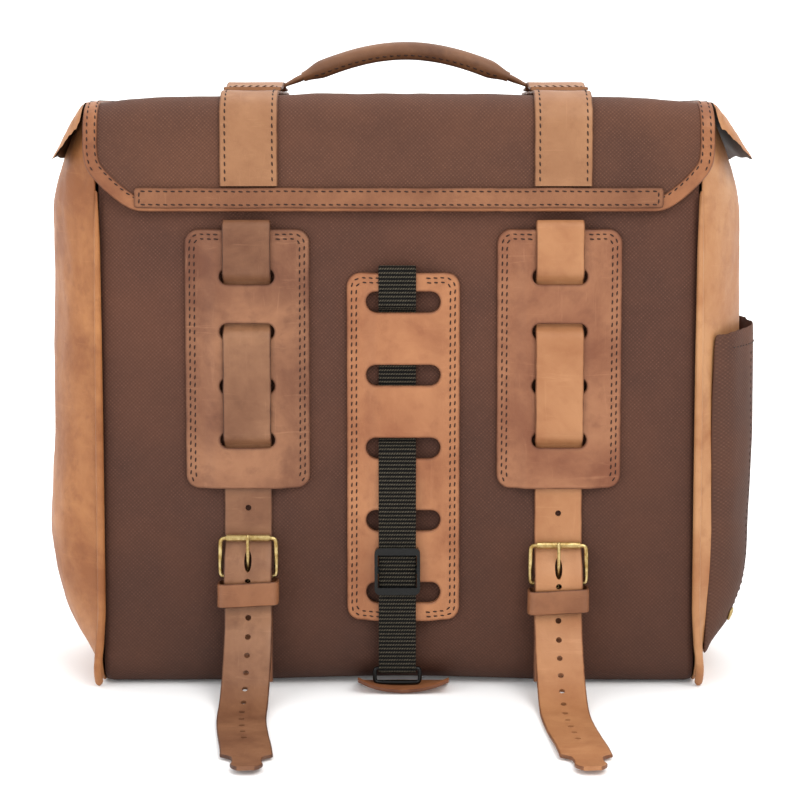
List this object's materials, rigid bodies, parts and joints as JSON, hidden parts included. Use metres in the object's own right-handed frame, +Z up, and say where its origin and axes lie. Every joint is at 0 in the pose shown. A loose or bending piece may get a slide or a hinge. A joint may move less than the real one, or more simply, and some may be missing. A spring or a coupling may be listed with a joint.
{
  "type": "motorcycle saddlebag",
  "caption": "Canvas and leather motorcycle saddlebag with a hinged flap, a carrying handle, a side pocket and buckled rack straps laced through slotted leather panels.",
  "frame": {"origin": "middle of the flat underside that the bag stands on", "axes": "+Z up; the side with the slotted panels, which straps to the rack, faces -Y; +X is to the right when facing that side, where the side pocket is"},
  "size_m": [0.4962, 0.3485, 0.4377],
  "materials": {
    "canvas": "dark brown waxed canvas, matt",
    "leather": "tan leather, panels and bindings, satin and lightly marked",
    "strap_leather": "tan strap leather, satin with burnished edges",
    "side_leather": "lighter tan leather, matt",
    "webbing": "black woven polyester webbing",
    "black_plastic": "black moulded plastic",
    "antique_brass": "dulled brass wire",
    "lining": "brown woven lining",
    "board": "black stiffener sheet"
  },
  "bodies": {
    "bag": {"back_board": "board", "base_board": "board", "base_tab": "leather", "canvas_body": "canvas", "centre_panel": "leather", "drain_eyelet": "antique_brass", "flap_back": "canvas", "flap_back_band": "leather", "gusset_left": "side_leather", "gusset_right": "side_leather", "lining": "lining", "rack_chape_left": "strap_leather", "rack_chape_right": "strap_leather", "rack_left_frame": "antique_brass", "rack_panel_left": "leather", "rack_panel_right": "leather", "rack_right_frame": "antique_brass", "rack_strap_left": "strap_leather", "rack_strap_right": "strap_leather", "side_pocket": "canvas", "snap_base_left": "antique_brass", "snap_base_right": "antique_brass", "tape_back_left": "strap_leather", "tape_back_right": "strap_leather", "webbing": "webbing", "welt_back_left": "side_leather", "welt_back_right": "side_leather", "welt_front_left": "side_leather", "welt_front_right": "side_leather"},
    "flap": {"closure_chape_left": "strap_leather", "closure_chape_right": "strap_leather", "closure_left_frame": "antique_brass", "closure_right_frame": "antique_brass", "closure_strap_left": "strap_leather", "closure_strap_right": "strap_leather", "flap_cover": "canvas", "flap_front_band": "leather", "flap_skirt_left": "side_leather", "flap_skirt_right": "side_leather", "snap_cap_left": "antique_brass", "snap_cap_right": "antique_brass", "tape_left": "strap_leather", "tape_right": "strap_leather"},
    "handle": {"handle_core": "strap_leather", "handle_grip": "leather"},
    "rack_left_roller": {"rack_left_roller": "antique_brass"},
    "rack_left_prong": {"rack_left_prong": "antique_brass"},
    "rack_keeper_left": {"rack_keeper_left": "strap_leather"},
    "rack_right_roller": {"rack_right_roller": "antique_brass"},
    "rack_right_prong": {"rack_right_prong": "antique_brass"},
    "rack_keeper_right": {"rack_keeper_right": "strap_leather"},
    "closure_left_roller": {"closure_left_roller": "antique_brass"},
    "closure_left_prong": {"closure_left_prong": "antique_brass"},
    "closure_keeper_left": {"closure_keeper_left": "strap_leather"},
    "closure_right_roller": {"closure_right_roller": "antique_brass"},
    "closure_right_prong": {"closure_right_prong": "antique_brass"},
    "closure_keeper_right": {"closure_keeper_right": "strap_leather"},
    "slider": {"slider": "black_plastic"},
    "webbing_ring": {"webbing_ring": "black_plastic"}
  },
  "joints": [
    {"name": "flap_hinge", "type": "hinge", "parent": "bag", "child": "flap", "pos_m": [0, -0.06, 0.4065], "axis": [1, 0, 0], "range_deg": [0, 120]},
    {"name": "handle_tilt", "type": "hinge", "parent": "flap", "child": "handle", "pos_m": [0.0048, 0, 0.4048], "axis": [1, 0, 0], "range_deg": [-70, 70]},
    {"name": "rack_left_roller_spin", "type": "hinge", "parent": "bag", "child": "rack_left_roller", "pos_m": [-0.101, -0.0819, 0.104], "axis": [1, 0, 0], "continuous": true},
    {"name": "rack_left_prong_lift", "type": "hinge", "parent": "bag", "child": "rack_left_prong", "pos_m": [-0.101, -0.0819, 0.078], "axis": [1, 0, 0], "range_deg": [0, 12]},
    {"name": "rack_keeper_left_slide", "type": "slide", "parent": "bag", "child": "rack_keeper_left", "axis": [0, 0, 1], "range_m": [-0.008, 0]},
    {"name": "rack_right_roller_spin", "type": "hinge", "parent": "bag", "child": "rack_right_roller", "pos_m": [0.107, -0.0819, 0.099], "axis": [1, 0, 0], "continuous": true},
    {"name": "rack_right_prong_lift", "type": "hinge", "parent": "bag", "child": "rack_right_prong", "pos_m": [0.107, -0.0819, 0.073], "axis": [1, 0, 0], "range_deg": [0, 12]},
    {"name": "rack_keeper_right_slide", "type": "slide", "parent": "bag", "child": "rack_keeper_right", "axis": [0, 0, 1], "range_m": [-0.008, 0]},
    {"name": "closure_left_roller_spin", "type": "hinge", "parent": "flap", "child": "closure_left_roller", "pos_m": [-0.101, 0.0819, 0.172], "axis": [1, 0, 0], "continuous": true},
    {"name": "closure_left_prong_lift", "type": "hinge", "parent": "flap", "child": "closure_left_prong", "pos_m": [-0.101, 0.0819, 0.146], "axis": [-1, 0, 0], "range_deg": [0, 12]},
    {"name": "closure_keeper_left_slide", "type": "slide", "parent": "flap", "child": "closure_keeper_left", "axis": [0, 0, 1], "range_m": [-0.008, 0]},
    {"name": "closure_right_roller_spin", "type": "hinge", "parent": "flap", "child": "closure_right_roller", "pos_m": [0.107, 0.0819, 0.172], "axis": [1, 0, 0], "continuous": true},
    {"name": "closure_right_prong_lift", "type": "hinge", "parent": "flap", "child": "closure_right_prong", "pos_m": [0.107, 0.0819, 0.146], "axis": [-1, 0, 0], "range_deg": [0, 12]},
    {"name": "closure_keeper_right_slide", "type": "slide", "parent": "flap", "child": "closure_keeper_right", "axis": [0, 0, 1], "range_m": [-0.008, 0]},
    {"name": "slider_slide", "type": "slide", "parent": "bag", "child": "slider", "axis": [0, 0, 1], "range_m": [-0.012, 0.03]},
    {"name": "ring_swing", "type": "hinge", "parent": "bag", "child": "webbing_ring", "pos_m": [-0.001, -0.0816, 0.015], "axis": [1, 0, 0], "range_deg": [-12, 12]}
  ]
}
